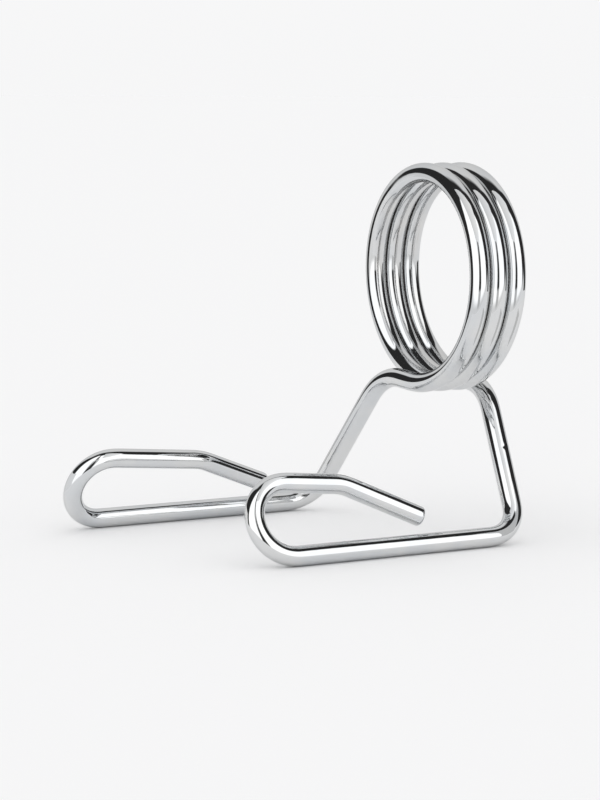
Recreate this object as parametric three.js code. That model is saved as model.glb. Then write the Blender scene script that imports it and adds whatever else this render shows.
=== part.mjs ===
// A spring collar that holds plates on the 50 mm sleeve of a weightlifting bar. It is one round steel wire,
// wound into a coil that grips the sleeve, with both ends bent into handles that are squeezed together to
// open the coil. It is modelled relaxed, off the bar, standing on the lower rails of its handles.
// Millimetres. X runs along the bar and points away from the handles, Z is up, and the origin is on the
// bar's axis at the middle of the coil. The near handle is the one on the -Y side.
import * as THREE from 'three';

const degrees = THREE.MathUtils.degToRad;

// Wire
const wireDiameter = 5.0;
const cutEdgeChamfer = 0.4;

// Coil: close turns, whose two ends leave near its bottom, a little before or past it
const coilBore = 49.0;
const turnGap = 0.45;
const coilTurns = 3;
const farExitAngle = degrees(4);
const nearExitAngle = degrees(-8);

// Legs: from the coil's bottom down and outwards to the rails, leaning slightly towards the handles
const railDrop = 62.8;
const legSplay = degrees(35);
const legLean = degrees(8);
const shoulderRadius = 14.3;
const cornerRadius = 9.4;

// Handles: a lower rail along the bar, a loop that leans inwards, and an upper rail kinked down to a cut tip
const lowerRailLength = 56.0;
const loopRadius = 9.2;
const loopLean = degrees(25);
const loopOverbend = degrees(5.5);
const kinkRadius = 10.0;
const tipLength = 21.0;
const farUpperRailLength = 24.0;
const nearUpperRailLength = 14.0;
const farKinkAngle = degrees(17.5);
const nearKinkAngle = degrees(21);

// The cut between the coil and each handle, and the facets of the round wire
const seamGap = 0.3;
const sectionSides = 12;
const stepsPerTurn = 48;

// Worked out from the sizes above
const wireRadius = wireDiameter / 2;
const coilRadius = (coilBore + wireDiameter) / 2;
const coilPitch = wireDiameter + turnGap;
const fullTurn = 2 * Math.PI;
const stepAngle = fullTurn / stepsPerTurn;
const bottomAngle = degrees(270);
const leadPerRadian = coilPitch / fullTurn;

const forward = new THREE.Vector3(-1, 0, 0);
const up = new THREE.Vector3(0, 0, 1);
const down = new THREE.Vector3(0, 0, -1);

// A place along the wire: its middle, its heading, a direction square to the heading, and its radius there
function station(point, heading, normal, radius = wireRadius) {
  return { point: point.clone(), heading: heading.clone(), normal: normal.clone(), radius };
}

// A wire that is laid out the way it is bent: straight runs and round bends, one after the other
class WireRoute {
  constructor(point, heading) {
    this.point = point.clone();
    this.heading = heading.clone().normalize();
    this.normal = new THREE.Vector3().crossVectors(this.heading, forward).normalize();
    this.stations = [station(this.point, this.heading, this.normal)];
  }

  run(length, endRadius = wireRadius) {
    this.point.addScaledVector(this.heading, length);
    this.stations.push(station(this.point, this.heading, this.normal, endRadius));
  }

  bendAbout(axis, bendRadius, angle) {
    const centre = new THREE.Vector3().crossVectors(axis, this.heading).multiplyScalar(bendRadius);
    centre.add(this.point);
    const steps = Math.max(2, Math.ceil(angle / stepAngle));
    for (let step = 1; step <= steps; step += 1) {
      this.point.sub(centre).applyAxisAngle(axis, angle / steps).add(centre);
      this.heading.applyAxisAngle(axis, angle / steps);
      this.normal.applyAxisAngle(axis, angle / steps);
      this.stations.push(station(this.point, this.heading, this.normal));
    }
  }

  bendTo(target, bendRadius) {
    const axis = new THREE.Vector3().crossVectors(this.heading, target).normalize();
    this.bendAbout(axis, bendRadius, this.heading.angleTo(target));
  }
}

// The coil's stations, from the near end at its rear to the far end at its front
function coilStations() {
  const startAngle = bottomAngle - nearExitAngle;
  const endAngle = bottomAngle + coilTurns * fullTurn + farExitAngle;
  const middleAngle = (startAngle + endAngle) / 2;
  const steps = Math.round((endAngle - startAngle) / stepAngle);
  const stations = [];
  for (let step = 0; step <= steps; step += 1) {
    const angle = startAngle + ((endAngle - startAngle) * step) / steps;
    const outwards = new THREE.Vector3(0, Math.cos(angle), Math.sin(angle));
    const point = outwards.clone().multiplyScalar(coilRadius);
    point.x = (middleAngle - angle) * leadPerRadian;
    const heading = new THREE.Vector3(-leadPerRadian, -coilRadius * outwards.z, coilRadius * outwards.y);
    stations.push(station(point, heading.normalize(), outwards));
  }

  // Both ends run straight for one wire diameter
  const nearEnd = stations[0];
  const farEnd = stations[steps];
  const nearFace = nearEnd.point.clone().addScaledVector(nearEnd.heading, -wireDiameter);
  const farFace = farEnd.point.clone().addScaledVector(farEnd.heading, wireDiameter);
  stations.unshift(station(nearFace, nearEnd.heading, nearEnd.normal));
  stations.push(station(farFace, farEnd.heading, farEnd.normal));
  return stations;
}

// Turns every section about the wire so that one flat of the rail at railIndex faces straight down
function layFlatOnGround(stations, railIndex) {
  const rail = stations[railIndex];
  const turn = rail.normal.angleTo(down);
  const sense = new THREE.Vector3().crossVectors(rail.normal, down).dot(rail.heading);
  for (const place of stations) {
    place.normal.applyAxisAngle(place.heading, sense < 0 ? -turn : turn);
  }
}

// A handle with its leg, from the cut face of the coil's end to the tip. side is 1 for far, -1 for near.
function handleStations(coilFace, outOfCoil, side, upperRailLength, kinkAngle) {
  const start = coilFace.clone().addScaledVector(outOfCoil, seamGap);
  const route = new WireRoute(start, outOfCoil);

  // Leg, long enough to bring the rail to its drop below the bar's axis
  const sideways = new THREE.Vector3(0, side, 0);
  const leg = new THREE.Vector3().addScaledVector(up, -Math.cos(legSplay));
  leg.addScaledVector(sideways, Math.sin(legSplay)).multiplyScalar(Math.cos(legLean));
  leg.addScaledVector(forward, Math.sin(legLean));
  route.bendTo(leg, shoulderRadius);
  const cornerReach = cornerRadius * Math.tan(leg.angleTo(forward) / 2);
  const legLength = (railDrop + route.point.z) / -leg.z - cornerReach;
  route.run(legLength);

  // Lower rail, loop and kinked upper rail
  route.bendTo(forward, cornerRadius);
  const railIndex = route.stations.length - 1;
  route.run(lowerRailLength);
  const acrossLoop = up.clone().multiplyScalar(Math.cos(loopLean));
  acrossLoop.addScaledVector(sideways, -Math.sin(loopLean));
  const loopAxis = new THREE.Vector3().crossVectors(forward, acrossLoop);
  route.bendAbout(loopAxis, loopRadius, Math.PI + loopOverbend);
  route.run(upperRailLength);
  route.bendAbout(loopAxis, kinkRadius, kinkAngle);
  route.run(tipLength - cutEdgeChamfer);
  route.run(cutEdgeChamfer, wireRadius - cutEdgeChamfer);
  layFlatOnGround(route.stations, railIndex);
  return route.stations;
}

// The solid wire along a row of stations: a ring of points at each, joined by faces and closed at both ends.
// The section's flats, not its corners, lie at the wire's radius.
function wireSolid(stations) {
  const positions = [];
  const faces = [];
  const sides = sectionSides;
  for (const { point, heading, normal, radius } of stations) {
    const across = new THREE.Vector3().crossVectors(heading, normal);
    const cornerDistance = radius / Math.cos(Math.PI / sides);
    for (let side = 0; side < sides; side += 1) {
      const angle = ((side + 1 / 2) * fullTurn) / sides;
      const corner = point.clone();
      corner.addScaledVector(normal, cornerDistance * Math.cos(angle));
      corner.addScaledVector(across, cornerDistance * Math.sin(angle));
      positions.push(...corner.toArray());
    }
  }
  for (let ring = 1; ring < stations.length; ring += 1) {
    for (let side = 0; side < sides; side += 1) {
      const here = (ring - 1) * sides + side;
      const beside = (ring - 1) * sides + ((side + 1) % sides);
      faces.push(here, beside, beside + sides, here, beside + sides, here + sides);
    }
  }
  const lastRing = (stations.length - 1) * sides;
  for (let side = 2; side < sides; side += 1) {
    faces.push(0, side, side - 1);
    faces.push(lastRing, lastRing + side - 1, lastRing + side);
  }
  const geometry = new THREE.BufferGeometry();
  geometry.setAttribute('position', new THREE.Float32BufferAttribute(positions, 3));
  geometry.setIndex(faces);
  geometry.computeVertexNormals();
  return geometry;
}

// The least gap of a wire to itself, measured between points of it that lie well apart along the wire
function leastGap(stations) {
  const spacing = wireRadius / 2;
  const wellApart = 4 * wireDiameter;
  const samples = [];
  let travelled = 0;
  for (let index = 1; index < stations.length; index += 1) {
    const from = stations[index - 1].point;
    const to = stations[index].point;
    const span = from.distanceTo(to);
    const parts = Math.ceil(span / spacing);
    for (let part = 0; part < parts; part += 1) {
      const share = part / parts;
      samples.push({ point: from.clone().lerp(to, share), along: travelled + span * share });
    }
    travelled += span;
  }
  let least = Infinity;
  for (const [index, sample] of samples.entries()) {
    for (const other of samples.slice(index + 1)) {
      if (other.along - sample.along > wellApart) {
        least = Math.min(least, sample.point.distanceTo(other.point));
      }
    }
  }
  return least - wireDiameter;
}

// Bright chromed steel, for each piece a material of its own
function chrome(name) {
  return new THREE.MeshStandardMaterial({ name, color: 0xc8cbcf, roughness: 0.12, metalness: 1 });
}

function wireMesh(name, stations) {
  const mesh = new THREE.Mesh(wireSolid(stations), chrome(`${name}_chrome`));
  mesh.name = name;
  console.log(`${name}: least gap of the wire to itself ${leastGap(stations).toFixed(2)} mm`);
  return mesh;
}

const coil = coilStations();
const nearFace = coil[0];
const farFace = coil[coil.length - 1];
const outOfNearFace = nearFace.heading.clone().negate();
const near = handleStations(nearFace.point, outOfNearFace, -1, nearUpperRailLength, nearKinkAngle);
const far = handleStations(farFace.point, farFace.heading, 1, farUpperRailLength, farKinkAngle);

const group = new THREE.Group();
group.add(wireMesh('spring_coil', coil));
group.add(wireMesh('near_handle', near));
group.add(wireMesh('far_handle', far));

export default group;
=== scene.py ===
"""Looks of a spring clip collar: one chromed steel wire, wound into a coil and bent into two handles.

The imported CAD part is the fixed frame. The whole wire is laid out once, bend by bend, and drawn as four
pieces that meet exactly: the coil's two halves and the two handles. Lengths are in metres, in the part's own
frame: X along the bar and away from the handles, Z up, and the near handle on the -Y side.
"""

import logging
import math
from dataclasses import dataclass, field
from enum import Enum

import bpy
import numpy as np
from mathutils import Matrix, Quaternion, Vector


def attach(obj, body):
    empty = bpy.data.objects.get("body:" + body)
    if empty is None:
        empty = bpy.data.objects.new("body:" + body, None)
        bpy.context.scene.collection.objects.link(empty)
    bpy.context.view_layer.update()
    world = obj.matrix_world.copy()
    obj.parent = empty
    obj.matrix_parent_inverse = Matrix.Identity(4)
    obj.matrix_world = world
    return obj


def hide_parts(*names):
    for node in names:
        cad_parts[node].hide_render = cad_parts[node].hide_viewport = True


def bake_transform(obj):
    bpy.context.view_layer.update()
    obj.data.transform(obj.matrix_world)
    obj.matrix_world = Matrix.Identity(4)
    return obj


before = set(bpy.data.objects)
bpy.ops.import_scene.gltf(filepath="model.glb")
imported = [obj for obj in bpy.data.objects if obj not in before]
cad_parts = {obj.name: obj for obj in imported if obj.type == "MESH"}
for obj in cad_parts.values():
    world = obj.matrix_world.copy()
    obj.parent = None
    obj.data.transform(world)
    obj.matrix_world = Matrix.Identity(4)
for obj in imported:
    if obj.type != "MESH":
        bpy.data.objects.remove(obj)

LOG = logging.getLogger("collar")
MM = 0.001

FORWARD = Vector((-1.0, 0.0, 0.0))
UP = Vector((0.0, 0.0, 1.0))

Colour = tuple[float, float, float, float]
Span = tuple[float, float]
WHITE: Colour = (1.0, 1.0, 1.0, 1.0)


class Side(Enum):
    """The side of the bar that a handle stands on."""

    NEAR = -1
    FAR = 1


class WireEnd(Enum):
    """How a stretch of wire is closed."""

    SEAM = "meets the next stretch"
    CUT = "sheared off"


# The wire


@dataclass(frozen=True)
class WireStock:
    """The round steel wire that the collar is bent from."""

    diameter: float = 5.0 * MM
    spacing: float = 0.35 * MM
    least_step: float = 0.0035 * MM
    sides: int = 56
    easing: float = 1.1 * MM
    easing_reach: float = 3.0
    ovality: float = 0.10

    @property
    def radius(self) -> float:
        """Half the wire's diameter."""
        return self.diameter / 2


@dataclass(frozen=True)
class Bend:
    """Where a bend's middle lies along its handle, which way its inside faces, and how far it bends."""

    distance: float
    inside: Vector
    angle: float


class Bender:
    """Lays out the middle line of a wire the way it is bent: straight runs and round bends."""

    def __init__(self, start: Vector, heading: Vector, spacing: float) -> None:
        """Starts a wire.

        Args:
            start: Where the wire starts.
            heading: The direction in which it sets off.
            spacing: The distance between points of the middle line.
        """
        self.point = start.copy()
        self.heading = heading.normalized()
        self.spacing = spacing
        self.line = [self.point.copy()]
        self.travelled = 0.0
        self.bends: list[Bend] = []

    def run(self, length: float) -> None:
        """Runs straight on.

        Args:
            length: How far it runs.
        """
        steps = max(1, round(length / self.spacing))
        for _ in range(steps):
            self.point = self.point + self.heading * (length / steps)
            self.line.append(self.point.copy())
        self.travelled += length

    def bend_about(self, axis: Vector, radius: float, angle: float) -> None:
        """Bends round an axis square to the wire.

        Args:
            axis: The direction of the bend's axis.
            radius: The bend's radius at the middle of the wire.
            angle: How far it bends, in radians.
        """
        centre = self.point + axis.cross(self.heading) * radius
        steps = max(2, math.ceil(radius * angle / self.spacing))
        step = Quaternion(axis, angle / steps)
        inside = Quaternion(axis, angle / 2) @ (centre - self.point)
        self.bends.append(Bend(self.travelled + radius * angle / 2, inside.normalized(), angle))
        for _ in range(steps):
            self.point = centre + step @ (self.point - centre)
            self.heading = step @ self.heading
            self.line.append(self.point.copy())
        self.travelled += radius * angle

    def bend_to(self, target: Vector, radius: float) -> None:
        """Bends until the wire heads in a given direction.

        Args:
            target: The direction to reach.
            radius: The bend's radius at the middle of the wire.
        """
        axis = self.heading.cross(target).normalized()
        self.bend_about(axis, radius, self.heading.angle(target))


@dataclass(frozen=True)
class Dent:
    """A small hollow in the wire's surface, left by a bending pin or a knock.

    It lies at a distance from the coil along one handle, on the side of the wire that faces a given way.
    """

    side: Side
    distance: float
    facing: tuple[float, float, float]
    depth: float
    length: float
    width: float


@dataclass(frozen=True)
class Coil:
    """The close turns that grip the bar's sleeve."""

    stock: WireStock
    bore: float = 49.0 * MM
    turn_gap: float = 0.45 * MM
    turns: int = 3
    near_exit: float = math.radians(-8.0)
    far_exit: float = math.radians(4.0)

    @property
    def radius(self) -> float:
        """The coil's radius at the middle of the wire."""
        return (self.bore + self.stock.diameter) / 2

    @property
    def pitch(self) -> float:
        """How far each turn moves along the bar."""
        return self.stock.diameter + self.turn_gap

    def middle_line(self) -> list[Vector]:
        """Lays out the coil with its two short straight ends.

        Returns:
            The points of the wire's middle line, from the near end to the far end.
        """
        bottom = math.radians(270.0)
        start = bottom - self.near_exit
        end = bottom + self.turns * math.tau + self.far_exit
        middle = (start + end) / 2
        lead = self.pitch / math.tau
        steps = round((end - start) * self.radius / self.stock.spacing)
        line = []
        for step in range(steps + 1):
            angle = start + (end - start) * step / steps
            sideways = self.radius * math.cos(angle)
            upwards = self.radius * math.sin(angle)
            line.append(Vector(((middle - angle) * lead, sideways, upwards)))
        out_of_near = self.heading(start)
        out_of_far = self.heading(end)
        straight = round(self.stock.diameter / self.stock.spacing)
        for _ in range(straight):
            line.insert(0, line[0] - out_of_near * self.stock.spacing)
            line.append(line[-1] + out_of_far * self.stock.spacing)
        return line

    def heading(self, angle: float) -> Vector:
        """The wire's direction at an angle round the coil.

        Args:
            angle: The angle about the bar's axis, in radians.

        Returns:
            The direction in which the wire runs there, towards the far end.
        """
        lead = self.pitch / math.tau
        return Vector(
            (-lead, -self.radius * math.sin(angle), self.radius * math.cos(angle))
        ).normalized()


@dataclass(frozen=True)
class Handle:
    """A leg with its looped handle, from the coil's end to the cut tip."""

    stock: WireStock
    side: Side
    upper_rail: float
    kink: float
    seam_gap: float = 0.3 * MM
    rail_drop: float = 62.8 * MM
    splay: float = math.radians(35.0)
    lean: float = math.radians(8.0)
    shoulder_radius: float = 14.3 * MM
    corner_radius: float = 9.4 * MM
    lower_rail: float = 56.0 * MM
    loop_radius: float = 9.2 * MM
    loop_lean: float = math.radians(25.0)
    overbend: float = math.radians(5.5)
    kink_radius: float = 10.0 * MM
    tip: float = 21.0 * MM

    def lay_out(self, start: Vector, heading: Vector) -> Bender:
        """Bends the handle onto the end of the coil.

        Args:
            start: The middle of the coil's end face.
            heading: The direction out of the coil.

        Returns:
            The bender, which holds the middle line and its bends.
        """
        sideways = Vector((0.0, self.side.value, 0.0))
        wire = Bender(start, heading, self.stock.spacing)
        wire.run(self.seam_gap)
        leg = (sideways * math.sin(self.splay) - UP * math.cos(self.splay)) * math.cos(self.lean)
        leg += FORWARD * math.sin(self.lean)
        wire.bend_to(leg, self.shoulder_radius)
        reach = self.corner_radius * math.tan(leg.angle(FORWARD) / 2)
        leg_length = (self.rail_drop + wire.point.z) / -leg.z - reach
        wire.run(leg_length)
        wire.bend_to(FORWARD, self.corner_radius)
        wire.run(self.lower_rail)
        across_loop = UP * math.cos(self.loop_lean) - sideways * math.sin(self.loop_lean)
        loop_axis = FORWARD.cross(across_loop)
        wire.bend_about(loop_axis, self.loop_radius, math.pi + self.overbend)
        wire.run(self.upper_rail)
        wire.bend_about(loop_axis, self.kink_radius, self.kink)
        wire.run(self.tip)
        return wire


def unit(vectors: np.ndarray) -> np.ndarray:
    """Rows scaled to length one."""
    return vectors / np.linalg.norm(vectors, axis=1)[:, None]


class Wire:
    """The whole bent wire, near tip to far tip, ready to be drawn stretch by stretch."""

    def __init__(self, stock: WireStock, coil: Coil, near: Handle, far: Handle) -> None:
        """Lays out the wire and eases its bends.

        Args:
            stock: The wire that it is bent from.
            coil: The coil.
            near: The near handle.
            far: The far handle.
        """
        self.stock = stock
        self.coil = coil
        coil_line = coil.middle_line()
        near_wire = near.lay_out(coil_line[0], coil_line[0] - coil_line[1])
        far_wire = far.lay_out(coil_line[-1], coil_line[-1] - coil_line[-2])
        line = near_wire.line[::-1][:-1] + coil_line + far_wire.line[1:]
        self.points = self._eased(np.array(line))
        steps = np.linalg.norm(np.diff(self.points, axis=0), axis=1)
        self.along = np.concatenate([[0.0], np.cumsum(steps)])
        self.headings = unit(np.gradient(self.points, self.along, axis=0))
        self.curving = np.gradient(self.headings, self.along, axis=0)
        self.normals = self._carried_normals()
        self.bends = {Side.NEAR: near_wire.bends, Side.FAR: far_wire.bends}
        self.near_seam = self.nearest(coil_line[0])
        self.far_seam = self.nearest(coil_line[-1])
        self.middle = (self.near_seam + self.far_seam) // 2
        self.dents: list[Dent] = []

    def _eased(self, line: np.ndarray) -> np.ndarray:
        """Spaces the points evenly and eases each bend into the straight runs beside it.

        Args:
            line: The points as bent.

        Returns:
            Evenly spaced points whose curvature changes smoothly.
        """
        lengths = np.linalg.norm(np.diff(line, axis=0), axis=1)
        keep = np.concatenate([[True], lengths > self.stock.least_step])
        line = line[keep]
        lengths = np.linalg.norm(np.diff(line, axis=0), axis=1)
        along = np.concatenate([[0.0], np.cumsum(lengths)])
        count = round(along[-1] / self.stock.spacing)
        even = np.linspace(0.0, along[-1], count + 1)
        points = np.stack([np.interp(even, along, line[:, axis]) for axis in range(3)], axis=1)
        width = self.stock.easing / self.stock.spacing
        reach = math.ceil(self.stock.easing_reach * width)
        weights = np.exp(-0.5 * (np.arange(-reach, reach + 1) / width) ** 2)
        weights /= weights.sum()
        before = points[0] + np.arange(-reach, 0)[:, None] * (points[1] - points[0])
        after = points[-1] + np.arange(1, reach + 1)[:, None] * (points[-1] - points[-2])
        padded = np.concatenate([before, points, after])
        return np.stack(
            [np.convolve(padded[:, axis], weights, mode="valid") for axis in range(3)], axis=1
        )

    def _carried_normals(self) -> np.ndarray:
        """Carries one direction square to the wire along it without twist.

        Returns:
            One such direction for each point.
        """
        normals = np.zeros_like(self.points)
        side = np.array(UP)
        for index, heading in enumerate(self.headings):
            side = side - heading * side.dot(heading)
            side = side / np.linalg.norm(side)
            normals[index] = side
        return normals

    def nearest(self, place: Vector) -> int:
        """The number of the point that lies nearest to a place."""
        return int(np.argmin(np.linalg.norm(self.points - np.array(place), axis=1)))

    def neighbours(self, numbers: np.ndarray, offsets: np.ndarray) -> np.ndarray:
        """How squarely each surface point faces the next turn of the coil.

        Args:
            numbers: The station of each ring.
            offsets: For each ring, the directions from the wire's middle to its surface.

        Returns:
            A share from 0 to 1 for each point, 0 where there is no turn beside it.
        """
        turn = math.tau * self.coil.radius / self.stock.spacing
        before = (numbers - turn > self.near_seam) & (numbers < self.far_seam)
        after = (numbers + turn < self.far_seam) & (numbers > self.near_seam)
        towards = offsets[:, :, 0]
        rearwards = np.where(before[:, None], np.clip(towards, 0, 1), 0)
        frontwards = np.where(after[:, None], np.clip(-towards, 0, 1), 0)
        return rearwards + frontwards

    def sleeve_side(self, numbers: np.ndarray, offsets: np.ndarray) -> np.ndarray:
        """How squarely each surface point faces the bar's sleeve.

        Args:
            numbers: The station of each ring.
            offsets: For each ring, the directions from the wire's middle to its surface.

        Returns:
            A share from 0 to 1 for each point, 0 away from the coil.
        """
        radial = unit(self.points[numbers] * np.array([0.0, 1.0, 1.0]))
        inwards = np.clip(-np.einsum("nsk,nk->ns", offsets, radial), 0, 1)
        on_coil = (numbers > self.near_seam) & (numbers < self.far_seam)
        return np.where(on_coil[:, None], inwards, 0)

    def dent_depth(self, numbers: np.ndarray, offsets: np.ndarray) -> np.ndarray:
        """How deep the dents press into each surface point, in metres.

        Args:
            numbers: The station of each ring.
            offsets: For each ring, the directions from the wire's middle to its surface.

        Returns:
            The depth at each point.
        """
        depth = np.zeros(offsets.shape[:2])
        for dent in self.dents:
            seam = self.near_seam if dent.side is Side.NEAR else self.far_seam
            place = self.along[seam] + dent.side.value * dent.distance
            run = (self.along[numbers] - place) / dent.length
            facing = np.array(Vector(dent.facing).normalized())
            round_the_wire = np.arccos(np.clip(offsets @ facing, -1, 1)) * self.stock.radius
            hollow = np.exp(-(run[:, None] ** 2) - (round_the_wire / dent.width) ** 2)
            depth += dent.depth * hollow
        return depth


@dataclass(frozen=True)
class Ring:
    """A ring of points round the wire.

    Its station may lie between two points of the wire's middle line. The ring can be moved along the wire,
    slope across it, and lie on a sheared face.
    """

    station: float
    radius: float
    shift: float = 0.0
    slant: float = 0.0
    cut: bool = False


@dataclass
class Stretch:
    """A stretch of the wire that is drawn as one closed piece.

    Where its surface is laid out flat, strips take up map_body of the height, less map_margin all round.
    The end faces are discs above them, with their middles at map_ends.
    """

    name: str
    wire: Wire
    first: int
    last: int
    first_end: WireEnd
    last_end: WireEnd
    tip_rounding: float = 0.95 * MM
    tip_slant: float = math.radians(3.5)
    tip_crown: float = 0.06 * MM
    rounding_steps: int = 6
    seam_ring: float = 0.04 * MM
    face_rings: tuple[float, ...] = (0.72, 0.36)
    map_body: float = 0.94
    map_margin: float = 0.006
    map_ends: Span = (0.1, 0.3)

    def _tip_rings(self, station: int, outwards: int) -> list[Ring]:
        """The rings of a sheared tip, from its edge to near the middle of its face.

        Args:
            station: The number of the wire's last point.
            outwards: 1 at the wire's far end and -1 at its near end.

        Returns:
            The rings, in order towards the middle of the face.
        """
        radius = self.wire.stock.radius
        slope = math.tan(self.tip_slant)
        rings = []
        for step in range(self.rounding_steps + 1):
            angle = math.pi / 2 * step / self.rounding_steps
            inset = self.tip_rounding * (1 - math.cos(angle))
            shift = self.tip_rounding * (math.sin(angle) - 1) * outwards
            rings.append(Ring(station, radius - inset, shift, slope * math.sin(angle)))
        for share in self.face_rings:
            crown = self.tip_crown * (1 - share**2) * outwards
            rings.append(Ring(station, (radius - self.tip_rounding) * share, crown, slope, True))
        return rings

    def rings(self) -> list[Ring]:
        """Lists the rings of the piece.

        Returns:
            The rings, from the first end to the last.
        """
        stock = self.wire.stock
        skip = math.ceil(self.tip_rounding / stock.spacing) + 1
        start = self.first + skip if self.first_end is WireEnd.CUT else self.first
        end = self.last - skip if self.last_end is WireEnd.CUT else self.last
        body = [Ring(station, stock.radius) for station in range(start, end + 1)]
        inset = self.seam_ring / stock.spacing
        if self.first_end is WireEnd.SEAM:
            body.insert(1, Ring(start + inset, stock.radius))
        else:
            body = self._tip_rings(self.first, -1)[::-1] + body
        if self.last_end is WireEnd.SEAM:
            body.insert(-1, Ring(end - inset, stock.radius))
        else:
            body += self._tip_rings(self.last, 1)
        return body

    @staticmethod
    def _between(values: np.ndarray, stations: np.ndarray) -> np.ndarray:
        """Reads the wire's vectors at stations that may lie between its points.

        Args:
            values: One vector for each point of the wire's middle line.
            stations: Where they are read.

        Returns:
            One vector for each station.
        """
        numbers = np.arange(len(values))
        return np.stack([np.interp(stations, numbers, column) for column in values.T], axis=1)

    def _directions(self, stations: np.ndarray, turn: np.ndarray) -> tuple[np.ndarray, np.ndarray]:
        """Finds which way the wire runs at each ring, and which way each of the ring's points faces.

        Args:
            stations: The station of each ring.
            turn: The angle of each of a ring's points, in radians.

        Returns:
            The headings, and the directions from the wire's middle to its surface.
        """
        headings = unit(self._between(self.wire.headings, stations))
        normals = self._between(self.wire.normals, stations)
        normals -= headings * np.einsum("nk,nk->n", normals, headings)[:, None]
        normals = unit(normals)
        across = np.cross(headings, normals)
        outwards = normals[:, None, :] * np.cos(turn)[None, :, None]
        outwards += across[:, None, :] * np.sin(turn)[None, :, None]
        return headings, outwards

    def _points(self, rings: list[Ring]) -> tuple[np.ndarray, dict[str, np.ndarray]]:
        """Works out where the points lie, and what the materials read at each of them.

        A bent wire is a little thinner across its bend and swells half as much beside it. The middles of the
        two end faces follow the rings' points.

        Args:
            rings: The rings.

        Returns:
            The points, and by name what is kept for them.
        """
        wire, stock = self.wire, self.wire.stock
        stations = np.array([ring.station for ring in rings], float)
        whole = np.clip(np.round(stations).astype(int), 0, len(wire.points) - 1)
        radii = np.array([ring.radius for ring in rings])[:, None]
        shifts = np.array([ring.shift for ring in rings])[:, None]
        slants = np.array([ring.slant for ring in rings])[:, None]
        turn = np.arange(stock.sides) * math.tau / stock.sides
        headings, outwards = self._directions(stations, turn)

        curving = self._between(wire.curving, stations)
        curvature = np.linalg.norm(curving, axis=1)
        inside = curving / np.maximum(curvature, np.finfo(float).eps)[:, None]
        tightness = (curvature * stock.radius)[:, None]
        towards = np.einsum("nsk,nk->ns", outwards, inside)
        beside = stock.ovality * tightness / 2
        across = 3 * beside
        section = outwards * (1 + beside)[:, :, None]
        section -= inside[:, None, :] * (towards * across)[:, :, None]

        depth = wire.dent_depth(whole, outwards) * (radii / stock.radius)
        lift = shifts + slants * radii * np.cos(turn)
        surface = self._between(wire.points, stations)[:, None, :] + section * radii[:, :, None]
        surface += headings[:, None, :] * lift[:, :, None] - outwards * depth[:, :, None]
        end_middles = [surface[0].mean(axis=0), surface[-1].mean(axis=0)]

        along = np.interp(stations, np.arange(len(wire.points)), wire.along)[:, None]
        place = np.stack([radii * np.cos(turn), radii * np.sin(turn), along + lift], axis=2)
        end_places = [[0.0, 0.0, along[0, 0]], [0.0, 0.0, along[-1, 0]]]
        kept = {"wire_place": np.concatenate([place.reshape(-1, 3), end_places])}
        for name, values in (
            ("bend", towards * tightness),
            ("faces_next_turn", wire.neighbours(whole, outwards)),
            ("faces_sleeve", wire.sleeve_side(whole, outwards)),
        ):
            kept[name] = np.concatenate([values.ravel(), [0.0, 0.0]])
        return np.concatenate([surface.reshape(-1, 3), end_middles]), kept

    def build(self) -> bpy.types.Object:
        """Draws the stretch as a closed mesh with its places and marks kept on it.

        Returns:
            The new object, linked to the scene.
        """
        rings = self.rings()
        points, kept = self._points(rings)
        mesh = bpy.data.meshes.new(self.name)
        mesh.from_pydata(points.tolist(), [], self._faces(len(rings), self.wire.stock.sides))
        for name, values in kept.items():
            self._keep(mesh, name, values)
        self._mark_faces(mesh, [ring.cut for ring in rings])
        self._lay_map(mesh, [ring.station for ring in rings])
        piece = bpy.data.objects.new(self.name, mesh)
        bpy.context.scene.collection.objects.link(piece)
        LOG.info("%s: %d rings, %d faces", self.name, len(rings), len(mesh.polygons))
        return piece

    @staticmethod
    def _faces(rings: int, sides: int) -> list[tuple[int, ...]]:
        """Joins the rings and closes both ends.

        Args:
            rings: How many rings there are.
            sides: How many points each has.

        Returns:
            The faces, all facing outwards: the tube's, ring by ring, and then the two ends'.
        """
        faces: list[tuple[int, ...]] = []
        for ring in range(rings - 1):
            here = ring * sides
            for side in range(sides):
                beside = (side + 1) % sides
                faces.append(
                    (here + side, here + beside, here + beside + sides, here + side + sides)
                )
        first_middle = rings * sides
        last_ring = (rings - 1) * sides
        for side in range(sides):
            beside = (side + 1) % sides
            faces.append((first_middle, beside, side))
            faces.append((first_middle + 1, last_ring + side, last_ring + beside))
        return faces

    @staticmethod
    def _keep(mesh: bpy.types.Mesh, name: str, values: np.ndarray) -> None:
        """Keeps a number or a vector for each point of a mesh, for the materials to read.

        Args:
            mesh: The mesh.
            name: The name under which the materials find it.
            values: What is kept.
        """
        kind = "FLOAT" if values.ndim == 1 else "FLOAT_VECTOR"
        attribute = mesh.attributes.new(name, kind, "POINT")
        key = "value" if values.ndim == 1 else "vector"
        attribute.data.foreach_set(key, values.astype(np.float32).ravel())

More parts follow.
